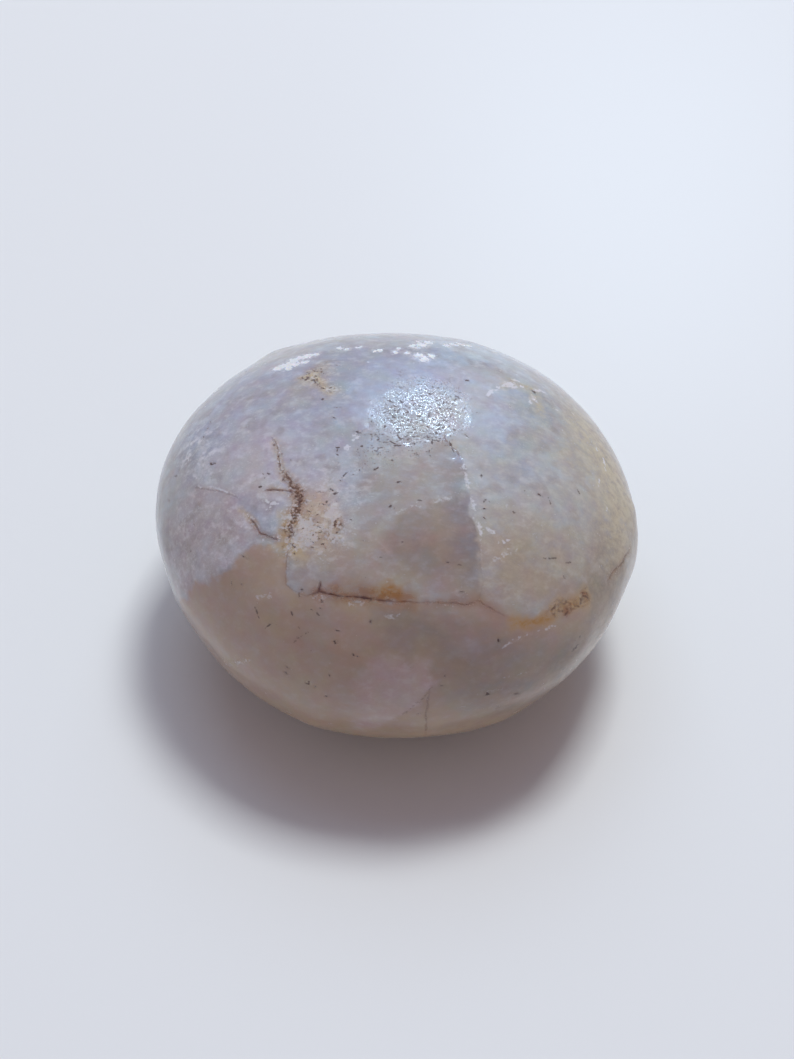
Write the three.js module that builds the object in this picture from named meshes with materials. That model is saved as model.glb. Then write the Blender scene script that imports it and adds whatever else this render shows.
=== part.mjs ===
// Quartz stone: a water-worn pebble, one solid in millimetres, +Z up, standing on the small flat worn on
// its underside. The origin is on that flat, under the middle of the stone.
//
// A place on the stone is written [azimuth, elevation] in degrees, as seen from its centre: azimuth 0 is
// +X, the right end, 270 is -Y, the front, and elevation 90 is straight up.
import * as THREE from "three";
import { SimplexNoise } from "three/addons/math/SimplexNoise.js";
import { mergeVertices } from "three/addons/utils/BufferGeometryUtils.js";

// The stone's centre, from which its places are measured, above the resting flat.
const centre = new THREE.Vector3(0.06, 0.12, 11.95);

// The body is bounded by worn faces that run into one another: each has its outward direction and its
// distance from the centre. A higher blend keeps the faces flatter and the turns between them tighter.
const faceBlend = 5;
const wornFaces = [
  { name: "right end", at: [0, 0], distance: 36.7 },
  { name: "left end", at: [180, 0], distance: 31.6 },
  { name: "front", at: [270, 0], distance: 25.8 },
  { name: "back", at: [90, 0], distance: 27 },
  { name: "top", at: [90, 90], distance: 12.7 },
  { name: "underside", at: [90, -90], distance: 12.9 },
  { name: "top, sloping back", at: [90, 40], distance: 16.6 },
  { name: "top, sloping forward", at: [270, 40], distance: 16.9 },
  { name: "top, sloping left", at: [180, 45], distance: 19.8 },
  { name: "top, sloping right", at: [0, 45], distance: 17.4 },
  { name: "underside, back", at: [90, -40], distance: 16.3 },
  { name: "underside, front", at: [270, -40], distance: 17.4 },
  { name: "underside, left", at: [180, -45], distance: 17 },
  { name: "underside, right", at: [0, -45], distance: 16.9 },
  { name: "back right shoulder", at: [40, 25], distance: 19.4 },
  { name: "back left shoulder", at: [140, 25], distance: 20.3 },
  { name: "front left shoulder", at: [220, 30], distance: 18.6 },
  { name: "front right shoulder", at: [320, 30], distance: 21.7 },
  { name: "back right, below", at: [40, -30], distance: 23.8 },
  { name: "back left, below", at: [140, -30], distance: 21.9 },
  { name: "front left, below", at: [220, -25], distance: 19.7 },
  { name: "front right, below", at: [320, -25], distance: 19.8 },
];

// The resting flat meets the underside over a short rounded edge.
const flatRounding = 0.35;

// Low lumps all over, as [height, width].
const lumps = [
  [0.1, 7],
  [0.035, 2.6],
];

// Cracks that run along the surface: the width and depth of their grooves, which fade out at both ends.
const cracks = [
  {
    name: "long crack across the front",
    width: 0.6,
    depth: 0.3,
    route: [[235, 28], [242, 29], [248, 31], [258, 32], [269, 32], [283, 31], [288, 30], [295, 29],
      [300, 24], [305, 20]],
  },
  {
    name: "the same crack round the right end",
    width: 0.6,
    depth: 0.2,
    route: [[305, 20], [313, 18], [319, 17], [327, 15], [334, 13], [346, 10], [0, 9]],
  },
  {
    name: "pitted crack on the left",
    width: 0.9,
    depth: 0.4,
    route: [[180, 50], [192, 51], [199, 50], [208, 51], [218, 50], [222, 46], [227, 41], [227, 38],
      [232, 32], [235, 29], [242, 29]],
  },
  {
    name: "short branch of the pitted crack",
    width: 0.6,
    depth: 0.25,
    route: [[205, 44], [208, 47], [215, 51]],
  },
  {
    name: "crack down from the left end",
    width: 0.6,
    depth: 0.25,
    route: [[191, 30], [197, 34], [202, 37], [211, 36], [219, 36], [224, 38], [228, 38]],
  },
  {
    name: "crack down the right of the top",
    width: 0.5,
    depth: 0.22,
    route: [[354, 73], [339, 71], [332, 65], [324, 62], [312, 55], [306, 49], [303, 42], [300, 38],
      [295, 29]],
  },
  {
    name: "short crack under the front",
    width: 0.5,
    depth: 0.15,
    route: [[278, 10], [277, 1], [277, -9]],
  },
  {
    name: "crack across the back",
    width: 0.6,
    depth: 0.2,
    route: [[62, 8], [74, 3], [85, 5], [97, -2], [106, -12], [118, -16]],
  },
];

// Ledges: the ground on the right of the route, as one walks along it, lies lower by the height, and
// rises back to the worn surface over the reach.
const ledges = [
  {
    name: "edge of the clear patch, front left",
    height: 0.16,
    reach: 4,
    route: [[200, -6], [203, 0], [208, 10], [210, 15], [215, 21], [217, 25], [217, 30], [218, 33],
      [222, 35], [227, 35], [231, 33]],
  },
  {
    name: "flake scar, back right",
    height: 0.28,
    reach: 4.5,
    route: [[31, 59], [36, 52], [36, 46], [35, 43], [31, 39], [28, 33]],
  },
  {
    name: "flake scar, back left",
    height: 0.3,
    reach: 4.5,
    route: [[150, -2], [144, 6], [133, 9], [124, 4], [120, -6]],
  },
];

// Hollows, round and dished: radius across the surface and depth.
const hollows = [
  { name: "opening of the pitted crack", at: [210, 51], radius: 0.75, depth: 0.5 },
  { name: "middle of the pitted crack", at: [217, 50], radius: 0.9, depth: 0.6 },
  { name: "lower pit of the crack", at: [222, 46], radius: 0.7, depth: 0.45 },
  { name: "foot of the pitted crack", at: [228, 38], radius: 0.75, depth: 0.35 },
  { name: "pit where the cracks meet", at: [235, 29], radius: 0.6, depth: 0.3 },
  { name: "stained pit on the long crack", at: [263, 33], radius: 0.8, depth: 0.25 },
  { name: "stained pit, front right", at: [305, 20], radius: 0.8, depth: 0.25 },
  { name: "brown dent, front right", at: [317, 17], radius: 1.3, depth: 0.3 },
  { name: "nick above the long crack", at: [246, 53], radius: 0.6, depth: 0.25 },
  { name: "bruise at the back left rim", at: [136, 39], radius: 1.3, depth: 0.25 },
  { name: "bruise at the back rim", at: [78, 46], radius: 1.2, depth: 0.25 },
  { name: "ochre nick, back left", at: [136, 55], radius: 1.2, depth: 0.25 },
  { name: "dark dent, low right", at: [316, 6], radius: 0.8, depth: 0.25 },
  { name: "hollow in the lower left rim", at: [201, -3], radius: 3.2, depth: 0.22 },
  { name: "hollow at the upper left", at: [185, 42], radius: 3.6, depth: 0.16 },
  { name: "worn flat behind", at: [96, -20], radius: 5, depth: 0.3 },
];

// Small round knocks from other stones, scattered everywhere but the resting flat.
const knocks = { count: 54, radius: [0.45, 0.85], depth: [0.1, 0.2], lowest: -60, seed: 11 };

// Edge lengths of the mesh: at the cracks and hollows, and on the plain surface. The edges grow by the
// given share of the way between them.
const fineEdge = 0.36;
const coarseSplits = 14;
const edgeGrowth = 0.7;
const crackSnap = 0.33; // a vertex nearer to a crack than this share of the fine edge is moved onto it
const pathStep = 0.4;

// ---- directions and the worn body ----

function directionTo([azimuth, elevation]) {
  const polar = THREE.MathUtils.degToRad(90 - elevation);
  const turn = THREE.MathUtils.degToRad(azimuth);
  return new THREE.Vector3(
    Math.sin(polar) * Math.cos(turn),
    Math.sin(polar) * Math.sin(turn),
    Math.cos(polar),
  );
}

const bodyFaces = wornFaces.map(({ at, distance }) => ({ normal: directionTo(at), distance }));

function onBody(direction) {
  let sum = 0;
  for (const { normal, distance } of bodyFaces) {
    const reach = direction.dot(normal) / distance;
    if (reach > 0) sum += reach ** faceBlend;
  }
  return direction.clone().multiplyScalar(sum ** (-1 / faceBlend));
}

// A route as a fine chain of points on the body.
function pathOf(route) {
  const corners = route.map((place) => onBody(directionTo(place)));
  const path = [corners[0]];
  for (let i = 1; i < corners.length; i++) {
    const steps = Math.ceil(corners[i].distanceTo(corners[i - 1]) / pathStep);
    for (let step = 1; step <= steps; step++) {
      const between = corners[i - 1].clone().lerp(corners[i], step / steps);
      path.push(onBody(between.normalize()));
    }
  }
  return path;
}

// The nearest point of a path, its distance and how far along the path it lies, from 0 to 1.
function nearestOn(path, point) {
  const piece = new THREE.Line3();
  const spot = new THREE.Vector3();
  const best = { distance: Infinity, along: 0, spot: new THREE.Vector3(), ahead: null };
  for (let i = 1; i < path.length; i++) {
    piece.set(path[i - 1], path[i]);
    const share = piece.closestPointToPointParameter(point, true);
    piece.at(share, spot);
    const distance = spot.distanceTo(point);
    if (distance < best.distance) {
      best.distance = distance;
      best.along = (i - 1 + share) / (path.length - 1);
      best.spot.copy(spot);
      best.ahead = [path[i - 1], path[i]];
    }
  }
  return best;
}

// ---- relief ----

function seededRandom(seed) {
  let state = seed;
  return () => {
    state = (state * 16807) % 2147483647;
    return state / 2147483647;
  };
}

// Knocks are spread evenly by a golden-angle spiral and then moved off it a little.
function scatterKnocks({ count, radius, depth, lowest, seed }) {
  const random = seededRandom(seed);
  const between = ([low, high]) => low + (high - low) * random();
  const goldenAngle = 180 * (3 - Math.sqrt(5));
  const lowestHeight = Math.sin(THREE.MathUtils.degToRad(lowest));
  const placed = [];
  for (let i = 0; i < count; i++) {
    const height = 1 - ((1 - lowestHeight) * (i + random())) / count;
    const elevation = THREE.MathUtils.radToDeg(Math.asin(height));
    const azimuth = (i * goldenAngle + 60 * random()) % 360;
    placed.push({ at: [azimuth, elevation], radius: between(radius), depth: between(depth) });
  }
  return placed;
}

const crackPaths = cracks.map((crack) => ({ ...crack, path: pathOf(crack.route) }));
const ledgePaths = ledges.map((ledge) => ({ ...ledge, path: pathOf(ledge.route) }));
const dents = [...hollows, ...scatterKnocks(knocks)].map((dent) => ({
  ...dent,
  spot: onBody(directionTo(dent.at)),
}));
const lumpNoise = new SimplexNoise({ random: seededRandom(7) });

const fadeAtEnds = (along) => Math.min(1, 6 * Math.min(along, 1 - along));

function crackDepth({ path, width, depth }, point) {
  const { distance, along } = nearestOn(path, point);
  return depth * fadeAtEnds(along) * Math.max(0, 1 - (2 * distance) / width);
}

function ledgeDepth({ path, height, reach }, point) {
  const { distance, along, spot, ahead } = nearestOn(path, point);
  if (distance > reach) return 0;
  const walk = ahead[1].clone().sub(ahead[0]);
  const right = walk.cross(spot).normalize();
  const offset = point.clone().sub(spot).dot(right);
  const step = THREE.MathUtils.smoothstep(offset, -fineEdge / 2, fineEdge);
  const rise = 1 - THREE.MathUtils.smoothstep(distance, 0, reach);
  return height * Math.sin(Math.PI * along) * step * rise;
}

function dentDepth({ spot, radius, depth }, point) {
  const share = spot.distanceTo(point) / radius;
  return share < 1 ? depth * (1 - share * share) ** 2 : 0;
}

// How far the surface lies under the worn body at a point of it.
function depthAt(point) {
  let depth = 0;
  for (const [height, width] of lumps) {
    depth += height * lumpNoise.noise3d(point.x / width, point.y / width, point.z / width);
  }
  const opened = crackPaths.map((crack) => crackDepth(crack, point));
  const dented = dents.map((dent) => dentDepth(dent, point));
  for (const ledge of ledgePaths) depth += ledgeDepth(ledge, point);
  return depth + Math.max(...opened, ...dented);
}

// ---- mesh ----

function allowedEdge(point) {
  let clear = Infinity;
  for (const { path, width } of crackPaths) {
    clear = Math.min(clear, nearestOn(path, point).distance - width / 2);
  }
  for (const { path } of ledgePaths) {
    clear = Math.min(clear, nearestOn(path, point).distance - fineEdge);
  }
  for (const { spot, radius, depth } of dents) {
    const gentle = radius / depth > 5 ? 1.5 : 1; // a wide shallow dent needs no fine mesh in it
    clear = Math.min(clear, Math.max(0, spot.distanceTo(point) - radius) + gentle * 0.25 * radius);
  }
  return fineEdge + edgeGrowth * Math.max(0, clear);
}

// Splits each edge that is too long where it lies. Triangles on both sides share its new vertex.
function splitLongEdges(points, triangles) {
  const middles = new Map();
  const middleOf = (a, b) => {
    const key = a < b ? `${a} ${b}` : `${b} ${a}`;
    if (!middles.has(key)) {
      const middle = points[a].clone().add(points[b]).normalize();
      const spot = onBody(middle);
      const long = points[a].distanceTo(points[b]) > 1.45 * allowedEdge(spot);
      middles.set(key, long ? points.push(spot) - 1 : null);
    }
    return middles.get(key);
  };
  const made = [];
  for (const corners of triangles) {
    let [a, b, c] = corners;
    let [ab, bc, ca] = [middleOf(a, b), middleOf(b, c), middleOf(c, a)];
    const splits = [ab, bc, ca].filter((middle) => middle !== null).length;
    // Turn the triangle until its split edges come first.
    while (splits % 3 && (ab === null || (splits === 2 && bc === null))) {
      [a, b, c] = [b, c, a];
      [ab, bc, ca] = [bc, ca, ab];
    }
    if (splits === 0) made.push([a, b, c]);
    if (splits === 1) made.push([a, ab, c], [ab, b, c]);
    if (splits === 2) {
      made.push([ab, b, bc]);
      const acrossFromA = points[a].distanceTo(points[bc]) < points[ab].distanceTo(points[c]);
      if (acrossFromA) made.push([a, ab, bc], [a, bc, c]);
      else made.push([a, ab, c], [ab, bc, c]);
    }
    if (splits === 3) made.push([a, ab, ca], [ab, b, bc], [ca, bc, c], [ab, bc, ca]);
  }
  return made;
}

// Vertices close to a crack move onto it, so that its bottom is one clean line.
function snapToCracks(points) {
  for (const point of points) {
    for (const { path } of crackPaths) {
      const { distance, spot } = nearestOn(path, point);
      if (distance < crackSnap * fineEdge) point.copy(onBody(spot.clone().normalize()));
    }
  }
}

// Never below the resting flat, and rounded into it.
function aboveFlat(height) {
  const over = Math.max(flatRounding - Math.abs(height), 0);
  return Math.max(height, 0) + (over * over) / (4 * flatRounding);
}

function stoneGeometry() {
  const sphere = new THREE.IcosahedronGeometry(1, coarseSplits);
  sphere.deleteAttribute("normal");
  sphere.deleteAttribute("uv");
  const merged = mergeVertices(sphere);
  const start = merged.getAttribute("position");
  const points = [];
  for (let i = 0; i < start.count; i++) {
    points.push(onBody(new THREE.Vector3().fromBufferAttribute(start, i).normalize()));
  }
  let triangles = [];
  for (let i = 0; i < merged.index.count; i += 3) {
    triangles.push([0, 1, 2].map((corner) => merged.index.getX(i + corner)));
  }
  for (let before = 0; before !== triangles.length; ) {
    before = triangles.length;
    triangles = splitLongEdges(points, triangles);
  }
  snapToCracks(points);

  const placed = points.map((point) => {
    const inward = point.clone().normalize().multiplyScalar(depthAt(point));
    const surface = point.clone().sub(inward).add(centre);
    return surface.setZ(aboveFlat(surface.z));
  });
  const geometry = new THREE.BufferGeometry().setFromPoints(placed);
  geometry.setIndex(triangles.flat());
  geometry.computeVertexNormals();
  return geometry;
}

// ---- the stone ----

const milkyQuartz = new THREE.MeshStandardMaterial({ color: 0x928c90, roughness: 0.45, metalness: 0 });

const stone = new THREE.Mesh(stoneGeometry(), milkyQuartz);
stone.name = "quartz_stone";

const part = new THREE.Group();
part.add(stone);

export default part;
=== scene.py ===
import math
import bmesh
import bpy
import numpy as np
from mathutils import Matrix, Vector, noise
from mathutils.bvhtree import BVHTree


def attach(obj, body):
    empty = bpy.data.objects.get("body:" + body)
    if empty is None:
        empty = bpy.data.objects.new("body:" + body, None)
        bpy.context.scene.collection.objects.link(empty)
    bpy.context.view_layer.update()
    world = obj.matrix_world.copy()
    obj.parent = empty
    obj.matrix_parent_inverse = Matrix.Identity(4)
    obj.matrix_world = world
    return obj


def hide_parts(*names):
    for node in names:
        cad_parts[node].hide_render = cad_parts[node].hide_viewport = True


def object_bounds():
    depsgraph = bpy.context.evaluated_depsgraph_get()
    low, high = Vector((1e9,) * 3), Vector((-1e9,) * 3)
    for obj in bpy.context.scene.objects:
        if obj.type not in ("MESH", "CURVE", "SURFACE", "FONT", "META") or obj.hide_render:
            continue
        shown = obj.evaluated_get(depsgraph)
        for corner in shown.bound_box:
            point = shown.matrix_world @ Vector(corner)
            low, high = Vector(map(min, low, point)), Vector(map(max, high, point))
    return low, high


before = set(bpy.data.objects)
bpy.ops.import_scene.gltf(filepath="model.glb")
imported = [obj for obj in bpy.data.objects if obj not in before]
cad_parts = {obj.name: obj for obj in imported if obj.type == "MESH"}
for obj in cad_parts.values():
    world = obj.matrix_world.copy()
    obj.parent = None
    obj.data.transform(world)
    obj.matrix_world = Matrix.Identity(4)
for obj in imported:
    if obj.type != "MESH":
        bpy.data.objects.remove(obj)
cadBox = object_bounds()
print("frame loaded")

mm = 0.001

# A place on the stone is [azimuth, elevation] in degrees as seen from its centre:
# azimuth 0 is the right end (+X), 270 the front (-Y), and elevation 90 is straight up.
stoneCentre = Vector((0.06, 0.12, 11.95)) * mm
stoneRadius = 16 * mm


def directionTo(place):
    azimuth, elevation = map(math.radians, place)
    level = math.cos(elevation)
    return Vector((math.cos(azimuth) * level, math.sin(azimuth) * level, math.sin(elevation)))


# ---- the form that the fine skin lies on

formValues = {
    "node": "quartz_stone",
    "softening": 6,  # passes that ease the CAD facets and grooves
    "rounding": 2,  # subdivision levels
    "sink": 0.15,  # mm below the floor before the flat is cut
}


def fillCadBox(bm):
    # easing the facets shrinks the form a little; the flat underneath is left to be cut level
    points = np.array([v.co for v in bm.verts])
    low = Vector(points.min(axis=0))
    high = Vector(points.max(axis=0))
    cadLow = Vector(cadBox[0]) - Vector((0, 0, formValues["sink"] * mm))
    cadHigh = Vector(cadBox[1])
    for v in bm.verts:
        for axis in range(3):
            share = (v.co[axis] - low[axis]) / (high[axis] - low[axis])
            v.co[axis] = cadLow[axis] + share * (cadHigh[axis] - cadLow[axis])


def roundedForm():
    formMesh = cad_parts[formValues["node"]].data.copy()
    form = bpy.data.objects.new("stoneForm", formMesh)
    bpy.context.scene.collection.objects.link(form)
    bm = bmesh.new()
    bm.from_mesh(formMesh)
    bmesh.ops.remove_doubles(bm, verts=bm.verts, dist=0.001 * mm)
    for _ in range(formValues["softening"]):
        bmesh.ops.smooth_vert(
            bm, verts=bm.verts, factor=0.5, use_axis_x=True, use_axis_y=True, use_axis_z=True
        )
    bm.to_mesh(formMesh)
    bm.free()
    rounding = form.modifiers.new("rounding", "SUBSURF")
    rounding.levels = formValues["rounding"]
    rounding.render_levels = formValues["rounding"]
    rounded = form.evaluated_get(bpy.context.evaluated_depsgraph_get())
    bm = bmesh.new()
    bm.from_mesh(rounded.to_mesh())
    fillCadBox(bm)
    tree = BVHTree.FromBMesh(bm)
    bm.free()
    bpy.data.objects.remove(form)
    return tree


def onForm(tree, direction):
    return tree.ray_cast(stoneCentre, direction)[0]


# ---- routes over the stone

def pathOver(tree, route, step=0.35 * mm):
    corners = [onForm(tree, directionTo(place)) for place in route]
    path = [corners[0]]
    for start, end in zip(corners, corners[1:]):
        count = max(1, math.ceil((end - start).length / step))
        for i in range(1, count + 1):
            between = start.lerp(end, i / count)
            path.append(onForm(tree, (between - stoneCentre).normalized()))
    return np.array(path)


def nearestOnPath(points, path):
    # distance, share of the way along, and which side (+1 right of the walk, seen from outside)
    distance = np.full(len(points), 1.0)
    along = np.zeros(len(points))
    side = np.ones(len(points))
    for i in range(len(path) - 1):
        start = path[i]
        walk = path[i + 1] - start
        offset = points - start
        share = np.clip(offset @ walk / (walk @ walk), 0, 1)
        away = offset - share[:, None] * walk
        gap = np.linalg.norm(away, axis=1)
        nearer = gap < distance
        right = np.cross(walk, start - np.array(stoneCentre))
        distance[nearer] = gap[nearer]
        along[nearer] = (i + share[nearer]) / (len(path) - 1)
        side[nearer] = np.sign(away[nearer] @ right)
    return distance, along, side


def smoothStep(value, low, high):
    share = np.clip((value - low) / (high - low), 0, 1)
    return share * share * (3 - 2 * share)


def fractalAt(points, size, octaves, seed):
    # noise of about -1 to 1, with waves of the given size in metres
    shift = Vector((seed * 13.1, seed * 7.7, seed * 3.3))
    return np.array([
        noise.fractal(Vector(point) / size + shift, 1.0, 2.0, octaves) for point in points
    ])


def swayAt(points, size, octaves, firstSeed):
    # three noises side by side, one for each axis
    return np.stack([fractalAt(points, size, octaves, firstSeed + axis) for axis in range(3)], axis=1)


def layMark(mark, amount, around=slice(None)):
    mark[around] = np.maximum(mark[around], amount)


def coordinatesOf(bm):
    return np.array([v.co for v in bm.verts])


def beside(points, path, reach):
    # the points in the box round a path
    low = path.min(axis=0) - reach
    high = path.max(axis=0) + reach
    return np.flatnonzero(np.all((points > low) & (points < high), axis=1))


# ---- the skin: a fine ball laid on the form, finest beside the cracks, marks and chips

skinValues = {
    "sphereSteps": 7,
    "firstBand": 0.5,  # mm from a crack within which the skin is made twice as fine
    "secondBand": 0.22,
    "flatHeight": 0.25,  # mm above the resting flat that stays plain
    "swell": (0.03, 2.4),  # height and width of low waves, mm
    "ripple": (0.008, 0.8),
}


def refine(bm, band, chipSpots):
    # halves every edge that lies within the band of a crack, a mark or a chip
    points = coordinatesOf(bm)
    near = np.zeros(len(points), bool)
    lines = [
        (values["path"], max(values["slit"] / 2, 0.6 * values.get("pitReach", 0)))
        for values in crackValues.values()
    ]
    for values in fleckValues.values():
        lines += [(path, values["reach"] - 0.3 * band / mm) for path in values["paths"]]
    for path, halfWidth in lines:
        reach = band + halfWidth * mm
        around = beside(points, path, reach)
        near[around] |= nearestOnPath(points[around], path)[0] < reach
    for spot, radius in chipSpots:
        near |= np.linalg.norm(points - spot, axis=1) < radius + 0.5 * band
    bm.verts.ensure_lookup_table()
    edges = [e for e in bm.edges if near[e.verts[0].index] and near[e.verts[1].index]]
    bmesh.ops.subdivide_edges(bm, edges=edges, cuts=1, use_grid_fill=True)
    bmesh.ops.triangulate(bm, faces=bm.faces, quad_method="BEAUTY", ngon_method="BEAUTY")
    bm.verts.index_update()


def plainSkin(tree, chipSpots):
    bm = bmesh.new()
    bmesh.ops.create_icosphere(bm, subdivisions=skinValues["sphereSteps"], radius=stoneRadius)
    for v in bm.verts:
        v.co = onForm(tree, v.co.normalized())
    for name in ("firstBand", "secondBand"):
        refine(bm, skinValues[name] * mm, chipSpots)
    for v in bm.verts:
        v.co = onForm(tree, (v.co - stoneCentre).normalized())
    bm.normal_update()
    return bm


# ---- cracks: slit is the width of the opening; step is how far the right-hand side lies lower;
# dark, rust and pale are how strongly the line, the rust beside it and its pale edge show, the pale
# edge being chipped quartz and, along the split down the right, a painted highlight on a lit step;
# pits is the depth of the crumbling along it and pitReach how far that spreads; all lengths in mm

crackValues = {
    "across the front": {
        "route": [[242, 29], [245, 31], [248, 31], [253, 31.6], [258, 32.2], [269, 32], [277, 31.6]],
        "slit": 0.14, "depth": 0.1, "step": 0.05, "dark": 0.85, "rust": 0.8, "pale": 0.0,
    },
    "spur": {
        "route": [[245, 31], [244.6, 32], [244, 33.4]],
        "slit": 0.2, "depth": 0.08, "step": 0.0, "dark": 0.9, "rust": 0.2, "pale": 0.0,
    },
    "across the front, right": {
        "route": [[277, 31.6], [283, 31], [288, 30], [291, 29], [295, 29], [298, 26], [301, 23]],
        "slit": 0.1, "depth": 0.04, "step": 0.03, "dark": 0.16, "rust": 0.45, "pale": 0.0,
    },
    "corner": {
        "route": [[232, 32], [234, 29], [238, 28.6], [242, 29]],
        "slit": 0.1, "depth": 0.04, "step": 0.05, "dark": 0.1, "rust": 0.05, "pale": 0.2,
    },
    "pitted crack, top": {
        "route": [[180, 50], [186, 51.4], [192, 51], [199, 50], [204, 51.4], [208, 51]],
        "slit": 0.12, "depth": 0.05, "step": 0.0, "dark": 0.35, "rust": 0.1, "pale": 0.7,
        "pits": 0.07, "pitReach": 0.4,
    },
    "pitted crack": {
        "route": [[208, 51], [213, 50], [218, 50], [222, 46], [224, 43], [227, 41]],
        "slit": 0.14, "depth": 0.06, "step": 0.03, "dark": 0.6, "rust": 0.5, "pale": 0.1,
        "pits": 0.15, "pitReach": 0.7,
    },
    "pitted crack, foot": {
        "route": [[227, 41], [226, 39], [228, 38], [230, 35], [232, 32]],
        "slit": 0.1, "depth": 0.06, "step": 0.03, "dark": 0.25, "rust": 0.2, "pale": 0.4,
        "pits": 0.06, "pitReach": 0.4,
    },
    "branch": {
        "route": [[205, 44], [208, 47], [211, 48.6], [215, 51]],
        "slit": 0.14, "depth": 0.1, "step": 0.0, "dark": 0.7, "rust": 0.3, "pale": 0.2,
    },
    "from the left end": {
        "route": [[187.5, 26.5], [191, 30], [194, 33], [199, 36], [202, 37]],
        "slit": 0.1, "depth": 0.07, "step": 0.04, "dark": 0.3, "rust": 0.1, "pale": 0.8,
    },
    "from the left end, foot": {
        "route": [[210, 36.4], [213, 36.5], [217, 36], [220.5, 37], [224.5, 38]],
        "slit": 0.13, "depth": 0.09, "step": 0.0, "dark": 0.6, "rust": 0.5, "pale": 0.3,
        "pits": 0.05, "pitReach": 0.4,
    },
    # the pale along this split, from the top to the foot, is a painted highlight on the lit edge of its step
    "down the right, top": {
        "route": [[354, 73], [345, 73], [339, 71], [337, 68], [332, 65]],
        "slit": 0.1, "depth": 0.05, "step": -0.02, "dark": 0.4, "rust": 0.1, "pale": 0.4,
        "pits": 0.04, "pitReach": 0.3,
    },
    "down the right": {
        "route": [[332, 65], [324, 62], [319, 60], [312, 55], [309, 51.4], [306, 49]],
        "slit": 0.08, "depth": 0.02, "step": -0.03, "dark": 0.0, "rust": 0.0, "pale": 0.85,
    },
    "down the right, foot": {
        "route": [[306, 49], [304.6, 45], [303, 42], [300, 38], [298, 33], [295, 29]],
        "slit": 0.08, "depth": 0.02, "step": -0.03, "dark": 0.12, "rust": 0.0, "pale": 0.3,
    },
    "round the right end": {
        "route": [[332, 13.5], [335.5, 13.4], [339, 12], [343, 11], [346, 9.5]],
        "slit": 0.13, "depth": 0.09, "step": 0.02, "dark": 0.35, "rust": 0.3, "pale": 0.0,
    },
    "under the front": {
        "route": [[278, 9], [277.4, 5], [277, 1], [277, -9], [278, -18]],
        "slit": 0.1, "depth": 0.06, "step": 0.0, "dark": 0.35, "rust": 0.1, "pale": 0.0,
    },
    "across the back": {
        "route": [[62, 8], [68, 5], [74, 3], [85, 5], [91, 2], [97, -2], [106, -12], [118, -16]],
        "slit": 0.14, "depth": 0.14, "step": 0.05, "dark": 0.65, "rust": 0.6, "pale": 0.1,
    },
    "under the back": {
        "route": [[30, -8], [36, -12], [44, -13], [52, -18], [57, -26]],
        "slit": 0.1, "depth": 0.08, "step": 0.03, "dark": 0.35, "rust": 0.3, "pale": 0.3,
    },
}

# how a crack strays and crumbles; lengths in mm
reliefValues = {
    "wander": 1.1,  # length of the slow changes in its width
    "crumble": 0.4,  # size of the crumbs along it
    "fine": 0.16,
    "bend": 0.7,
    "sway": 0.06,  # how far its bends stray from the route
    "ragged": 0.05,
    "narrowest": 0.03,
    "stepReach": 1.6,  # width of the slope on its lower side
    "rustReach": 0.55,
    "edge": 0.06,  # distance of the chipped edge from the opening
    "edgeWidth": 0.09,
}


def crackRelief(points, marks):
    relief = {name: length * mm for name, length in reliefValues.items()}
    depth = np.zeros(len(points))
    wander = fractalAt(points, relief["wander"], 3, 4)
    crumble = fractalAt(points, relief["crumble"], 3, 9)
    fine = fractalAt(points, relief["fine"], 2, 10)
    swayed = points + relief["sway"] * swayAt(points, relief["bend"], 3, 51)
    for values in crackValues.values():
        distance, along, side = nearestOnPath(swayed, values["path"])
        distance = np.abs(distance + relief["ragged"] * crumble)
        ends = np.clip(8 * np.minimum(along, 1 - along) + 0.25, 0, 1)
        half = values["slit"] * mm / 2 * (1 + 0.45 * wander)
        opening = np.clip(1 - distance / np.maximum(half, relief["narrowest"]), 0, 1) ** 0.7
        depth = np.maximum(depth, values["depth"] * mm * ends * opening)
        lower = (side > 0) * np.sin(np.pi * np.clip(along, 0.02, 0.98))
        depth += values["step"] * mm * lower * (1 - smoothStep(distance, 0, relief["stepReach"]))
        if "pits" in values:
            pitted = 1 - smoothStep(distance, 0, values["pitReach"] * mm * (1 + 0.4 * wander))
            depth += values["pits"] * mm * ends * pitted * (0.35 + 0.7 * crumble + 0.6 * fine)
        line = ends * np.clip(1.4 - distance / (0.4 * half + 0.05 * mm), 0, 1)
        broken = smoothStep(wander + 0.5 * crumble, -0.6, 0.05)
        layMark(marks["crack"], values["dark"] * line * broken)
        rustReach = np.maximum(relief["rustReach"] * (1 + 0.6 * wander), 0.1 * mm)
        red = values["rust"] * ends * np.clip(1 - distance / rustReach, 0, 1)
        layMark(marks["red"], 0.8 * red)
        # the pale edge: chipped quartz, and along the split down the right a painted highlight on the lit
        # edge of its step
        edge = np.exp(-((distance - half - relief["edge"]) / relief["edgeWidth"]) ** 2) * (side < 0)
        chipped = smoothStep(crumble, -0.4, 0.3)
        layMark(marks["pale"], values["pale"] * ends * edge * chipped)
    return depth


# ---- patches of clearer or milkier quartz: milk is how much paler it is (clearer below 0),
# warm how much browner, ochre how much yellower, lilac how much bluer, mauve how much pinker, smoke
# how much darker, bruise how thickly it is flecked, dashes how thickly it is nicked and grain how
# finely it is frosted; edge is the softness of the outline in mm, and a corner with a third number
# has its own from there on

# the split edge on the right of the middle, from the crown down
longSplit = [
    [345, 73, 0.2], [337, 68, 0.15], [332, 65, 0.12], [324, 62, 0.12], [312, 55, 0.12],
    [306, 49, 0.12], [303, 42, 0.15], [300, 38, 0.2], [296, 31, 0.3],
]

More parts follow.
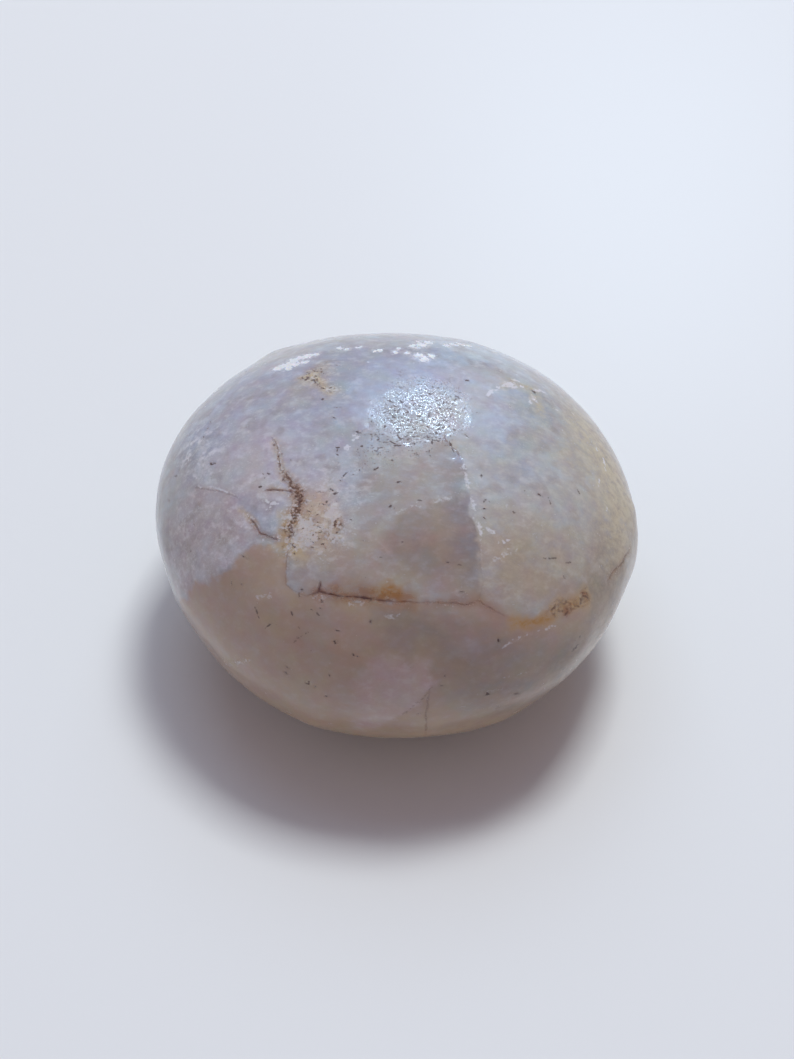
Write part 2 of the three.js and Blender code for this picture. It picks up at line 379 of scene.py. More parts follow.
patchValues = {
    "clear front": {
        "middle": [275, -12],
        "outline": [
            [198, -14], [203, 0], [208, 10], [210, 15], [215, 21], [217, 25], [216, 27], [217, 30],
            [218, 33], [222, 35], [227, 35, 0.3], [231, 33, 0.2], [235, 28.6], [242, 29], [248, 31],
            [258, 32], [269, 32], [283, 31, 0.3], [288, 30, 0.9], [295, 29, 1.6], [300, 24, 1.6],
            [305, 20, 1.2], [313, 18, 1.2], [319, 17, 1.5], [327, 15, 1.5], [334, 13, 1.5],
            [346, 10, 1.5], [0, 4, 1.5], [356, -12, 1.5], [340, -30, 1.5], [300, -42, 1.5],
            [260, -44, 1.5], [225, -34, 1.5],
        ],
        "edge": 0.2, "milk": -0.46, "warm": 0.12,
    },
    "smoky above the long crack": {
        "middle": [283, 36],
        "outline": [
            [229, 37], [236, 45], [250, 51], [270, 55], [304, 51], [318.6, 41], [325.3, 26], [328, 14],
            [315, 19], [304, 23], [291.5, 29.7, 0.8], [276.7, 32, 0.3], [253.2, 32, 0.3], [242, 29, 0.3],
            [233, 30, 1.0],
        ],
        "edge": 2.4, "milk": -0.2, "warm": 0.16,
    },
    "smoky under the long crack": {
        "middle": [250, 24],
        "outline": [
            [210, 20], [215, 31], [218, 36], [231, 36], [242, 32], [258, 34], [283, 33], [297, 28], [290, 20],
            [262, 22], [240, 18], [222, 14],
        ],
        "edge": 1.4, "smoke": 0.05,
    },
    "rosy left": {
        "middle": [210, 52],
        "outline": [
            [185, 31], [174, 43], [174, 58], [210, 68], [240, 60], [235, 50], [222, 46], [213, 40], [205, 37],
        ],
        "edge": 2.2, "mauve": 0.4, "milk": 0.26,
    },
    "pale back right": {
        "middle": [62, 40],
        "outline": [[84, 53], [76, 42], [68, 29], [54, 24], [42, 36], [48, 46], [62, 53]],
        "edge": 1.6, "milk": 0.2, "bruise": 0.25,
    },
    # painted shade: the right rim is darkened with warm brown and ochre
    "painted shade on the right rim": {
        "middle": [345, 12],
        "outline": [
            [36, 26], [20, 31], [5, 27], [353, 22], [340, 17], [328, 15], [318, 10], [308, 4],
            [312, -8], [325, -8], [340, -6], [0, -4], [20, -2], [36, 10],
        ],
        "edge": 2.4, "warm": 0.4, "ochre": 0.4,
    },
    # painted shade: the right edge is darkened with smoke and warm brown
    "painted shade on the right edge": {
        "middle": [20, 36],
        "outline": [[42, 40], [20, 54], [3, 50], [358, 36], [6, 20], [25, 18], [42, 28]],
        "edge": 2.0, "smoke": 0.12, "warm": 0.1,
    },
    "left of the long split": {
        "middle": [312, 54],
        "outline": longSplit + [[290, 32], [293, 38], [296, 50], [308, 62], [325, 70]],
        "edge": 1.6, "smoke": 0.22,
    },
    "right of the long split": {
        "middle": [314, 48],
        "outline": longSplit + [[301, 30], [308, 37], [315, 46], [325, 56], [340, 66]],
        "edge": 1.4, "milk": 0.1, "mauve": 0.14,
    },
    "smoky low right": {
        "middle": [295, 10],
        "outline": [
            [262, 30.5, 0.6], [276, 31, 0.6], [290.2, 27], [311.7, 13], [324.8, 0], [318, -14],
            [295.7, -10.8], [284.5, 4.8], [278, 17], [266, 21],
        ],
        "edge": 2.4, "smoke": 0.08, "warm": 0.36,
    },
    "left end, low": {
        "middle": [190, 18],
        "outline": [
            [168, 20], [180, 26], [191, 34.6], [207, 33.5], [209, 26], [205, 17], [198, 5], [180, 4],
            [168, 10],
        ],
        "edge": 2.0, "ochre": 0.1, "lilac": 0.12,
    },
    "grey of the back": {
        "middle": [110, 55],
        "outline": [[120, 34], [97, 36], [76, 31], [66, 55], [89, 70], [150, 78], [172, 70], [145, 58]],
        "edge": 2.2, "smoke": 0.14,
    },
    "brown of the right end": {
        "middle": [350, 15],
        "outline": [
            [349, 7], [337, 6], [325.7, 9], [322.5, 15.8], [333.5, 19], [351, 22.6], [10, 24], [25, 26],
            [30, 14], [10, 4],
        ],
        "edge": 1.8, "warm": 0.5, "ochre": 0.1,
    },
    "clear middle": {
        "middle": [285, 48],
        "outline": [
            [266, 43, 1.2], [265, 50, 1.0], [270, 56, 0.5], [279, 58, 0.3], [288, 58, 0.3], [298, 58, 0.3],
            [306, 57, 0.3], [309, 52, 0.2], [306, 49, 0.2], [303, 42, 0.3], [299, 36, 1.0], [286, 37, 1.4],
            [274, 40, 1.4],
        ],
        "edge": 0.6, "milk": -0.2, "warm": 0.3, "smoke": 0.14,
    },
    "grey middle": {
        "middle": [262, 64],
        "outline": [
            [236, 60], [240, 67], [262, 74], [300, 76], [330, 72], [332, 65, 0.3], [319, 60, 0.3],
            [309, 54, 0.4], [296, 59], [270, 58], [250, 54],
        ],
        "edge": 2.2, "milk": -0.12, "warm": 0.08, "smoke": 0.14,
    },
    "veil, low front": {
        "middle": [271, 5],
        "outline": [
            [263, 16], [268, 17.5], [273, 17], [278, 16, 0.4], [280, 12.5, 0.25], [278, 8.5, 0.2],
            [275, 4.5, 0.2], [271, 0.5, 0.25], [267, -4.5, 0.4], [262.5, -10], [259.5, -9], [260, 0.5],
            [260.5, 8],
        ],
        "edge": 0.9, "mauve": 0.75, "bruise": 0.15,
    },
    "cloud, low right": {
        "middle": [290, 18],
        "outline": [[285, 21], [289.5, 22], [294.5, 18], [292, 15], [286.5, 17]],
        "edge": 1.0, "mauve": 0.45,
    },
    "milky right": {
        "middle": [330, 45],
        "outline": [
            [354, 73, 0.5], [339, 71, 0.3], [332, 65, 0.12], [324, 62, 0.12], [312, 55, 0.12],
            [306, 49, 0.16], [303, 42, 0.3], [300, 38, 0.3], [295, 29, 0.5], [311, 23, 1.6], [332, 17, 1.6],
            [347, 12, 1.6], [0, 11, 1.6], [14, 16, 1.6], [26, 26, 1.6], [14, 42, 1.6], [3, 59, 1.6],
        ],
        "edge": 0.3, "milk": 0.08, "ochre": 0.25,
    },
    "blue of the right": {
        "middle": [350, 52],
        "outline": [[12, 62], [12.5, 49], [0, 44], [338, 41.5], [333, 50], [346, 60]],
        "edge": 2.2, "lilac": 0.3, "smoke": 0.06,
    },
    "smoky foot of the right": {
        "middle": [318, 32],
        "outline": [[302, 44], [319, 43], [341, 27], [344, 16], [330, 13], [316, 19], [300, 27], [299, 35]],
        "edge": 2.4, "milk": -0.12, "warm": 0.22, "ochre": 0.12,
    },
    "yellow of the right end": {
        "middle": [354, 20],
        "outline": [[20, 30], [356, 40], [350, 30], [343, 24], [338, 12], [2, 4], [18, 8], [32, 20]],
        "edge": 2.4, "ochre": 0.35,
    },
    "pale over the island": {
        "middle": [222, 40],
        "outline": [
            [196, 36], [201, 49], [207, 60], [226, 68], [250, 62], [243, 53], [240, 40], [228, 34], [214, 35],
        ],
        "edge": 1.8, "milk": 0.2, "mauve": 0.2, "bruise": 0.25,
    },
    "glow in the scar": {
        "middle": [25, 42],
        "outline": [[34, 51], [36, 45], [34, 39], [30, 34], [21, 35], [8, 42], [15, 48], [25, 51]],
        "edge": 0.8, "ochre": 0.3, "milk": 0.3,
    },
    "blue of the left": {
        "middle": [180, 42],
        "outline": [[163, 27], [158, 40], [172, 52], [186, 53], [198, 48], [203, 43], [201, 37], [186, 28]],
        "edge": 2.4, "lilac": 0.1, "milk": 0.2, "mauve": 0.3,
    },
    # partly painted light: the top is painted bluer for the bluish light from behind that falls on it, over
    # the stone's own lilac tint
    "blue of the top, partly painted sky light": {
        "middle": [150, 68],
        "outline": [
            [144, 20], [134, 37], [97, 43], [72, 46], [46, 55], [44, 70], [46, 84], [218, 82], [218, 69],
            [203, 52], [185, 37], [171, 24],
        ],
        "edge": 3.0, "lilac": 0.5, "milk": -0.04, "bruise": 0.06,
    },
    "blue by the left streak": {
        "middle": [206, 36],
        "outline": [[197, 37], [202, 40], [209, 41], [213, 39], [211, 34.5], [206, 33.5], [200, 34]],
        "edge": 0.5, "lilac": 0.6, "milk": 0.05,
    },
    "island by the pitted crack": {
        "middle": [217, 42],
        "outline": [[208.5, 42], [212, 45], [218, 46.4], [223, 42.5], [224, 39.5], [219.5, 37.8], [214, 39]],
        "edge": 0.25, "lilac": 0.3, "milk": -0.06,
    },
    "speckled side of the pitted crack": {
        "middle": [233, 47],
        "outline": [[216, 52], [222, 56], [233, 56], [244, 53], [249, 46], [243, 39], [232, 37], [224, 41]],
        "edge": 1.3, "milk": 0.2, "ochre": 0.5, "mauve": 0.5, "bruise": 0.9, "dashes": 0.75,
    },
    "bruised left": {
        "middle": [176, 29],
        "outline": [[165, 20], [165, 27], [172, 33], [180, 36], [187, 33], [186, 27], [176, 21]],
        "edge": 1.2, "milk": 0.2, "bruise": 0.8,
    },
    "milky left": {
        "middle": [205, 30],
        "outline": [
            [186, 24], [191, 30], [197, 34], [206, 37, 0.3], [216, 36, 0.3], [217, 30, 0.3], [215, 21, 0.3],
            [208, 10, 0.4], [203, 2], [195, 8],
        ],
        "edge": 1.2, "milk": 0.2, "mauve": 0.6, "bruise": 0.4,
    },
    "nicked crown": {
        "middle": [250, 76],
        "outline": [
            [211, 73], [228, 63], [248, 70], [290, 76], [335, 71], [0, 67], [20, 62], [45, 60], [70, 63],
            [95, 69], [135, 77], [185, 77],
        ],
        "edge": 2.6, "dashes": 1.3,
    },
    "frosted crown": {
        "middle": [45, 76],
        "outline": [[131, 78], [90, 69], [66, 64], [38, 61], [8, 65], [345, 74], [290, 85], [180, 84]],
        "edge": 1.6, "grain": 1.0,
    },
    "ochre spot, back left": {
        "middle": [136, 54],
        "outline": [
            [143, 49, 0.3], [135, 47.5, 0.3], [125, 48], [128, 53], [136, 57], [140, 64], [146, 62],
            [145, 55],
        ],
        "edge": 0.9, "ochre": 0.55, "bruise": 1.0, "dashes": 1.4, "milk": -0.16, "warm": 0.16,
    },
    "clear back": {
        "middle": [88, -22],
        "outline": [
            [62, 8], [74, 3], [85, 5], [97, -2], [106, -12], [118, -16], [124, -34, 1.4], [100, -52, 1.4],
            [70, -44, 1.4], [52, -20, 1.4],
        ],
        "edge": 0.25, "milk": -0.34, "warm": 0.26,
    },
    "veil, back": {
        "middle": [140, -12],
        "outline": [[150, -2], [144, 6], [133, 9], [124, 4], [120, -6], [128, -26], [150, -30], [160, -14]],
        "edge": 0.9, "milk": 0.2, "bruise": 0.3, "lilac": 0.1,
    },
    "clear right end": {
        "middle": [20, -6],
        "outline": [[4, 2], [16, 8], [30, 4], [36, -6], [30, -22], [10, -24], [0, -12]],
        "edge": 1.2, "milk": -0.2, "ochre": 0.12,
    },
}
patchWander = {"size": 1.3, "reach": 0.5}  # mm, how an outline wanders


def insideOutline(points, values):
    # 0 to 1 over the edge of a patch, worked out on a flat chart round its middle
    middle = directionTo(values["middle"])
    east = Vector((-middle.y, middle.x, 0)).normalized()
    north = middle.cross(east)
    chartAxes = np.array([east, north]).T

    def chart(towards):
        lean = np.arccos(np.clip(towards @ np.array(middle), -1, 1))
        flat = towards @ chartAxes
        length = np.maximum(np.linalg.norm(flat, axis=1), 1e-9)
        return flat * (lean / length * stoneRadius)[:, None]

    towards = points - np.array(stoneCentre)
    towards /= np.linalg.norm(towards, axis=1)[:, None]
    spots = chart(towards)
    corners = chart(np.array([directionTo(corner[:2]) for corner in values["outline"]]))
    edges = [corner[2] if len(corner) > 2 else values["edge"] for corner in values["outline"]]
    distance = np.full(len(spots), 1.0)
    softness = np.full(len(spots), values["edge"] * mm)
    inside = np.zeros(len(spots), bool)
    for i, start in enumerate(corners):
        end = corners[(i + 1) % len(corners)]
        walk = end - start
        offset = spots - start
        share = np.clip(offset @ walk / (walk @ walk), 0, 1)
        away = np.linalg.norm(offset - share[:, None] * walk, axis=1)
        nearer = away < distance
        distance[nearer] = away[nearer]
        nextEdge = edges[(i + 1) % len(corners)]
        softness[nearer] = ((1 - share) * edges[i] + share * nextEdge)[nearer] * mm
        crosses = (start[1] > spots[:, 1]) != (end[1] > spots[:, 1])
        climb = end[1] - start[1]
        if climb:
            crossing = start[0] + (spots[:, 1] - start[1]) / climb * walk[0]
            inside ^= crosses & (spots[:, 0] < crossing)
    signed = np.where(inside, distance, -distance)
    return smoothStep(signed, -softness, softness)


def patchMarks(points, marks):
    warped = points + patchWander["reach"] * mm * swayAt(points, patchWander["size"] * mm, 5, 21)
    for values in patchValues.values():
        inside = insideOutline(warped, values)
        for name in ("milk", "warm", "ochre", "lilac", "mauve", "smoke", "bruise", "dashes", "grain"):
            if name in values:
                marks[name] += values[name] * inside


# ---- stains that iron has left: red is red-brown, rust is orange, brown is dark, ochre is pale
# yellow; reach is in mm from the route

stainValues = {
    "above the long crack": {
        "route": [[264, 34], [268, 34.4], [270, 34]], "reach": 1.0, "rust": 1.0, "ochre": 0.5,
    },
    "along the long crack": {
        "route": [[250, 32], [256, 33], [262, 33.4], [274, 32.8]], "reach": 1.1, "red": 0.4,
        "rust": 0.35,
    },
    "below the long crack": {"route": [[252, 30.6], [262, 31], [270, 31]], "reach": 0.8, "rust": 0.3},
    "pitted crack, top": {
        "route": [[184, 51], [190, 51.4], [199, 50.4], [205, 51]], "reach": 0.6, "brown": 0.34, "ochre": 0.6,
    },
    "pitted crack, upper": {
        "route": [[203, 51], [206, 51], [211, 50.4]], "reach": 0.5, "red": 0.3, "brown": 0.6, "ochre": 0.6,
    },
    "pitted crack": {
        "route": [[212, 51], [216, 50.4], [220, 49], [222, 46.4]], "reach": 0.9, "red": 0.6, "brown": 0.58,
        "ochre": 0.6,
    },
    "pitted crack, lower": {
        "route": [[222, 46], [223, 43], [225, 41]], "reach": 0.8, "red": 0.3, "brown": 0.5, "ochre": 0.9,
    },
    "pitted crack, ochre": {
        "route": [[219.5, 43.6], [222.5, 42], [225, 39]], "reach": 0.8, "rust": 0.25, "ochre": 1.0,
    },
    "foot of the pitted crack": {
        "route": [[225.5, 38], [229, 37.5], [232.5, 38.4]], "reach": 1.2, "rust": 0.22, "brown": 0.14,
        "ochre": 1.0,
    },
    "beside the pitted crack": {
        "route": [[223, 50], [228, 48], [234, 45], [240, 44]], "reach": 1.8, "red": 0.12, "brown": 0.24,
        "ochre": 0.3,
    },
    "brown speck in the middle": {
        "route": [[241, 50], [242, 49.4]], "reach": 0.5, "red": 0.4, "brown": 0.7, "ochre": 0.5,
    },
    "branch": {"route": [[206, 46], [211, 48.6]], "reach": 0.4, "brown": 0.3, "ochre": 0.5},
    "left streak": {
        "route": [[205, 35.8], [208, 36.4], [213, 36.6]], "reach": 0.4, "brown": 0.3, "ochre": 0.8,
    },
    "front right, ochre": {
        "route": [[302.5, 21.6], [305, 19.8], [308, 18.8], [312, 18]], "reach": 0.75, "rust": 0.7,
        "ochre": 0.8,
    },
    "front right, brown": {
        "route": [[313.5, 19], [317, 18.4], [320, 16.4], [323.5, 15.8]], "reach": 1.0, "rust": 0.5,
        "brown": 0.46, "ochre": 0.8,
    },
    "front right, red": {"route": [[316.4, 16.4], [317.6, 16.6]], "reach": 0.4, "red": 0.9, "brown": 0.7},
    "front right, tip": {"route": [[323, 17.4], [324, 15.8]], "reach": 0.3, "red": 0.8, "brown": 0.6},
    "left rim": {"route": [[222, -3.5], [226, 0.5], [230, 4]], "reach": 0.5, "brown": 0.35, "ochre": 0.6},
    "back left": {
        "route": [[141, 50], [137, 52], [139, 56], [142, 61]], "reach": 0.8, "brown": 0.4, "ochre": 0.6,
    },
    "scar edge": {
        "route": [[36, 46], [35.5, 42], [31, 36], [27, 38], [20, 39]], "reach": 0.7, "brown": 0.15,
        "ochre": 0.75,
    },
    "right end": {"route": [[333, 13.4], [339, 12], [346, 9.6]], "reach": 0.6, "red": 0.2, "brown": 0.3},
    "back": {"route": [[82, 5], [88, 4], [94, 0]], "reach": 1.1, "rust": 0.7, "brown": 0.2, "ochre": 0.5},
    "back, low": {"route": [[40, -12], [48, -15]], "reach": 0.8, "rust": 0.4, "brown": 0.1, "ochre": 0.5},
}
stainCloud = 0.9  # mm, the size of what frays a stain


def stainMarks(points, marks):
    cloud = fractalAt(points, stainCloud * mm, 4, 12)
    for values in stainValues.values():
        around = beside(points, values["path"], 2 * values["reach"] * mm)
        distance = nearestOnPath(points[around], values["path"])[0]
        reach = np.maximum(values["reach"] * mm * (1 + 0.55 * cloud[around]), 0.05 * mm)
        amount = np.clip(1.15 * (1 - distance / reach), 0, 1)
        for name in ("red", "rust", "brown", "ochre"):
            layMark(marks[name], values.get(name, 0) * amount, around)


# ---- small pale and dark marks: each has its routes and its half width in mm

fleckValues = {
    # painted highlights: pale glints on the ledge just below the long crack
    "painted glints under the long crack": {
        "routes": [
            [[227.5, 22], [229.5, 24], [232, 24.5]], [[243.5, 29], [248, 30.4]],
            [[253, 29.4], [257, 30.4], [260.5, 31]], [[266, 28], [268.5, 28.2], [271, 28.8]],
            [[282.5, 30], [287, 29.4]],
        ],
        "reach": 0.26, "pale": 0.42,
    },
    "white dots": {
        "routes": [
            [[230.5, 25.5], [231, 25.5]], [[313.5, 14], [313.5, 13.4]], [[219, 35.2], [219.6, 35.2]],
            [[107, 55.5], [106, 55.5]],
        ],
        "reach": 0.12, "pale": 1.0,
    },
    "streaks, low right": {
        "routes": [[[297.5, 16], [300.5, 17.2], [304.5, 17]], [[307.5, 16.6], [312.5, 15.2]]],
        "reach": 0.16, "pale": 0.6,
    },
    "fibres, low right": {
        "routes": [[[287, 4.4], [294, 5], [300, 4.4]], [[284, 1], [290, 2.4]], [[296, 8], [303, 7]]],
        "reach": 0.12, "pale": 0.22,
    },
    "edge of the veil": {
        "routes": [[[279, 10.5], [276.5, 6.5], [273, 2.5], [269, -2]]], "reach": 0.13, "dark": 0.3,
    },
    "blobs, low right": {
        "routes": [[[315, 6], [317.5, 6.2]], [[312, 1.5], [313, 1.7]], [[316.5, 8.4], [318, 8.2]]],
        "reach": 0.2, "dark": 0.55,
    },
    "lumps on the left rim": {
        "routes": [[[222.5, -4.5], [225, -2.4]], [[226, -0.6], [228.5, 1.6]], [[229, 3], [231, 4.4]]],
        "reach": 0.3, "pale": 0.5,
    },
    "nicks, low left": {
        "routes": [
            [[228, 20], [229, 19], [230.5, 17.5]], [[238.5, 23.5], [239.5, 22.5]], [[244, 26], [247, 25]],
            [[233, 16], [234, 17.5], [236, 18.5]], [[241.5, 15.5], [243, 17.5], [245, 20]],
            [[247, 15.5], [247.6, 15.5]], [[252.5, 10.5], [253, 9.5]], [[241, 21], [242.4, 20]],
        ],
        "reach": 0.09, "dark": 0.6,
    },
    "nicks, crown": {
        "routes": [
            [[357.5, 67.5], [353.5, 65.5]], [[344.5, 71.5], [334, 68.5]], [[250, 83.5], [263, 83]],
            [[211.5, 75], [214, 76]], [[227, 63], [227.5, 66]], [[245.5, 70.5], [249, 72]],
            [[230, 57], [232.5, 58.5]], [[230, 53], [230.5, 55]], [[200, 68], [202, 69]],
            [[206, 67], [209, 67.4]], [[330, 76], [340, 77]], [[20, 80], [32, 80.4]],
        ],
        "reach": 0.09, "dark": 0.8,
    },
    "nicks, right": {
        "routes": [
            [[329, 57.5], [326.5, 56.5]], [[317.5, 52.5], [318.5, 50]], [[334.5, 45.5], [334.5, 44]],
            [[348, 31.5], [347, 30.5]], [[323, 44], [323.5, 43]], [[319, 30.5], [323, 28]],
            [[324.5, 25.5], [326, 24.5]], [[316, 51.6], [317, 51.2]], [[336, 37], [338, 38.4]],
        ],
        "reach": 0.09, "dark": 0.6,
    },
    "nicks, middle": {
        "routes": [
            [[245.5, 52.5], [247, 52.5]], [[283.5, 60.5], [286, 60]], [[257, 38.5], [259, 37.5]],
            [[292, 39.5], [293.5, 39]], [[270, 48], [273, 48]], [[262, 43.4], [264, 43.6]],
            [[222, 54.6], [225, 56]],
        ],
        "reach": 0.08, "dark": 0.55,
    },
    "nicks, left": {
        "routes": [[[197.5, 45.5], [200, 45.6]], [[198, 46.6], [199.6, 47.4]], [[202, 43], [203.4, 44.5]]],
        "reach": 0.1, "dark": 0.85,
    },
    "ridge in the middle": {
        "routes": [[[270, 57], [275, 58]], [[279, 58.6], [286, 59]], [[292, 59.2], [303.5, 57.6]]],
        "reach": 0.3, "pale": 0.4,
    },
    "mottle on the right": {"routes": [[[304, 36.4], [308, 37], [313.5, 36]]], "reach": 0.4, "pale": 0.4},
    "white by the highlight": {
        "routes": [[[197.5, 74.5], [187, 77]], [[205, 70.6], [206, 72]]], "reach": 0.34, "pale": 0.9,
    },
    "edge of the island": {
        "routes": [[[208, 42.4], [211.4, 43.4], [213.4, 44.8]], [[212, 41.4], [213.2, 43]]],
        "reach": 0.2, "pale": 1.0,
    },
    "crumbs at the foot of the pitted crack": {
        "routes": [[[225, 39.4], [227, 38.6]], [[227.6, 37.4], [230.5, 36.4]], [[231, 38.4], [233, 38.8]],
                   [[222, 38.6], [224, 37.8]], [[229, 40], [231, 40.4]]],
        "reach": 0.28, "pale": 0.6,
    },
    "left streak": {
        "routes": [[[189.5, 30], [194, 33.4], [199, 36.4]], [[207.5, 36.4], [211, 37], [216, 37]]],
        "reach": 0.14, "pale": 0.6,
    },
    "left end": {
        "routes": [[[183, 26.4], [185, 27.4]], [[180, 28], [182, 29]], [[176, 24.6], [177.4, 25.6]]],
        "reach": 0.22, "pale": 0.8,
    },
    # painted highlight: pale along the lit edge of the long split
    "right of the long split": {
        "routes": [
            [[324, 62], [318.5, 59], [315, 57]], [[328, 63.4], [322, 62.4]], [[313, 54.6], [310, 51]],
            [[308, 48.4], [305.6, 44]], [[309, 45], [311, 42.6]], [[310, 40], [314, 39]],
        ],
        "reach": 0.22, "pale": 0.8,
    },
    "scar edge": {
        "routes": [
            [[30.5, 55], [33.5, 51.5], [35.5, 47.5]], [[35.5, 47], [35.5, 42.5], [33, 40]],
            [[31.4, 37], [30, 33]], [[29, 38.5], [24.5, 38.5]], [[34.4, 44.6], [33.6, 41.4]],
        ],
        "reach": 0.24, "pale": 1.0,
    },
    "right end": {
        "routes": [
            [[10.5, 22.5], [9.5, 22.5]], [[8, 20.5], [3.5, 20.5]], [[350, 21], [349, 21]],
            [[22.5, 33.5], [22, 32.5]], [[13, 34.5], [12, 34.5]], [[38, 41.5], [36, 39.5]],
            [[41, 38], [40, 37]], [[358, 24], [355, 24.4]], [[26, 40.4], [24, 41]],
        ],
        "reach": 0.18, "pale": 1.0,
    },
    "nicks, back": {
        "routes": [
            [[120, 20], [124, 21]], [[100, 26], [103, 28]], [[84, 24], [86, 26]], [[140, 26], [143, 27]],
            [[64, 18], [66, 20]], [[110, 8], [113, 9]], [[50, 6], [52, 8]], [[150, 14], [153, 14]],
        ],
        "reach": 0.1, "dark": 0.6,
    },
}
fleckTears = {"ragged": 0.22, "gaps": 0.3}  # mm, the sizes of what tears a mark


def fleckMarks(points, marks):
    ragged = fractalAt(points, fleckTears["ragged"] * mm, 3, 17)
    gaps = smoothStep(fractalAt(points, fleckTears["gaps"] * mm, 2, 18), -0.35, 0.1)
    for values in fleckValues.values():
        for path in values["paths"]:
            around = beside(points, path, 2 * values["reach"] * mm)
            distance, along = nearestOnPath(points[around], path)[:2]
            taper = 0.45 + 0.55 * np.sin(np.pi * along)
            reach = np.maximum(values["reach"] * mm * taper * (1 + 0.8 * ragged[around]), 0.02 * mm)
            amount = gaps[around] * (1 - smoothStep(distance, 0.35 * reach, 1.25 * reach))
            for name in ("pale", "dark"):
                layMark(marks[name], values.get(name, 0) * amount, around)


# ---- fresh white chips along the back rim and elsewhere: place and radius in mm

chipValues = {
    "back left": [
        ([138.5, 39], 0.4), ([136, 39.8], 0.45), ([133, 40], 0.5), ([130, 40.6], 0.45), ([127, 41.6], 0.35),
        ([137.4, 42], 0.3), ([134, 42.6], 0.3), ([131, 43.6], 0.25), ([124, 42.4], 0.2),
    ],
    "back": [
        ([114, 43], 0.25), ([112, 45], 0.22), ([107, 45.4], 0.22), ([101, 49.5], 0.2), ([98.4, 49.4], 0.2),
        ([91, 50.8], 0.25), ([89, 48.6], 0.2), ([84.6, 51.4], 0.2),
    ],
    "back right": [
        ([82, 46.5], 0.4), ([79.5, 44.6], 0.45), ([77.5, 42], 0.35), ([79, 52.4], 0.35), ([75.5, 53.5], 0.4),
        ([72.5, 51], 0.3), ([81, 42], 0.25),
    ],
    "right of the back": [([70, 41], 0.25), ([68, 38], 0.35), ([66, 35], 0.35), ([64, 34], 0.25)],
    "far back": [([118, 24], 0.32), ([114, 26], 0.25), ([92, 16], 0.28), ([70, 22], 0.22), ([148, 20], 0.3)],
}
chipDepth = 0.06  # mm
chipCrumble = 0.4  # mm, the size of what breaks a chip's edge


def gatherChips(tree):
    return [
        (np.array(onForm(tree, directionTo(place))), radius * mm)
        for chips in chipValues.values() for place, radius in chips
    ]


def chipRelief(points, marks, chipSpots):
    depth = np.zeros(len(points))
    crumble = fractalAt(points, chipCrumble * mm, 4, 31)
    for spot, radius in chipSpots:
        share = np.linalg.norm(points - spot, axis=1) / radius
        amount = np.clip(1 - share * share, 0, 1)
        broken = smoothStep(np.clip(1.6 - share, 0, 1) + 0.9 * crumble, 0.1, 1.1)
        layMark(marks["chip"], broken * smoothStep(share, 1.7, 1.1))
        layMark(marks["pale"], 0.55 * smoothStep(share + 0.5 * crumble, 2.6, 0.8))
        depth = np.maximum(depth, chipDepth * mm * amount * (1 + crumble))
    return depth


# ---- small knocks from other stones, thickest in the crowded parts

knockValues = {
    "count": 420,
    "seed": 5,
    "radius": (0.2, 0.45),  # mm
    "depth": (0.006, 0.03),  # mm
    "crowded": [([250, 66], 30), ([345, 70], 22), ([315, 50], 16)],  # place and reach in degrees
    "elsewhere": 0.33,  # share kept of those that fall outside the crowded parts
}


def knockRelief(points, tree):
    # little round dents
    random = np.random.default_rng(knockValues["seed"])
    crowded = [(directionTo(place), math.radians(reach)) for place, reach in knockValues["crowded"]]
    depth = np.zeros(len(points))
    placed = 0
    while placed < knockValues["count"]:
        direction = Vector(random.normal(size=3)).normalized()
        chance = random.random()
        radius = random.uniform(*knockValues["radius"]) * mm
        deep = random.uniform(*knockValues["depth"]) * mm
        inCrowd = any(direction.angle(place) < reach for place, reach in crowded)
        if chance > knockValues["elsewhere"] and not inCrowd:
            continue
        placed += 1
        spot = np.array(onForm(tree, direction))
        box = np.all(np.abs(points - spot) < radius, axis=1)
        share = np.linalg.norm(points[box] - spot, axis=1) / radius
        depth[box] = np.maximum(depth[box], deep * np.clip(1 - share * share, 0, 1))
    return depth


# ---- the stone

markNames = (
    "crack", "red", "rust", "brown", "pale", "dark", "chip", "milk", "warm", "ochre", "lilac", "mauve",
    "smoke", "bruise", "dashes", "grain",
)


def gatherRoutes(tree):
    for values in (*crackValues.values(), *stainValues.values()):
        values["path"] = pathOver(tree, values["route"])
    for values in fleckValues.values():
        values["paths"] = [pathOver(tree, route) for route in values["routes"]]


def makeStone():
    tree = roundedForm()
    gatherRoutes(tree)
    chipSpots = gatherChips(tree)
    bm = plainSkin(tree, chipSpots)
    print("skin laid,", len(bm.faces), "faces")
    points = coordinatesOf(bm)
    normals = np.array([v.normal for v in bm.verts])
    marks = {name: np.zeros(len(points)) for name in markNames}
    depth = crackRelief(points, marks)
    print("cracks opened")
    depth = np.maximum(depth, chipRelief(points, marks, chipSpots))
    depth = np.maximum(depth, knockRelief(points, tree))
    for seed, (height, width) in enumerate((skinValues["swell"], skinValues["ripple"])):
        depth += height * mm * fractalAt(points, width * mm, 3, 40 + seed)
    stainMarks(points, marks)
    fleckMarks(points, marks)
    patchMarks(points, marks)
    print("marks laid")
    depth *= smoothStep(points[:, 2], 0, skinValues["flatHeight"] * mm)
    placed = points - depth[:, None] * normals
    placed = np.clip(placed, cadBox[0], cadBox[1])
    for v, place in zip(bm.verts, placed):
        v.co = place
    for face in bm.faces:
        face.smooth = True
    mesh = bpy.data.meshes.new("quartzSkin")
    bm.to_mesh(mesh)
    bm.free()
    for name, amounts in marks.items():
        layer = mesh.attributes.new(name, "FLOAT", "POINT")
        layer.data.foreach_set("value", amounts.astype(np.float32))
    stone = bpy.data.objects.new("quartz_stone_skin", mesh)
    bpy.context.scene.collection.objects.link(stone)
    return stone


# ---- node helpers

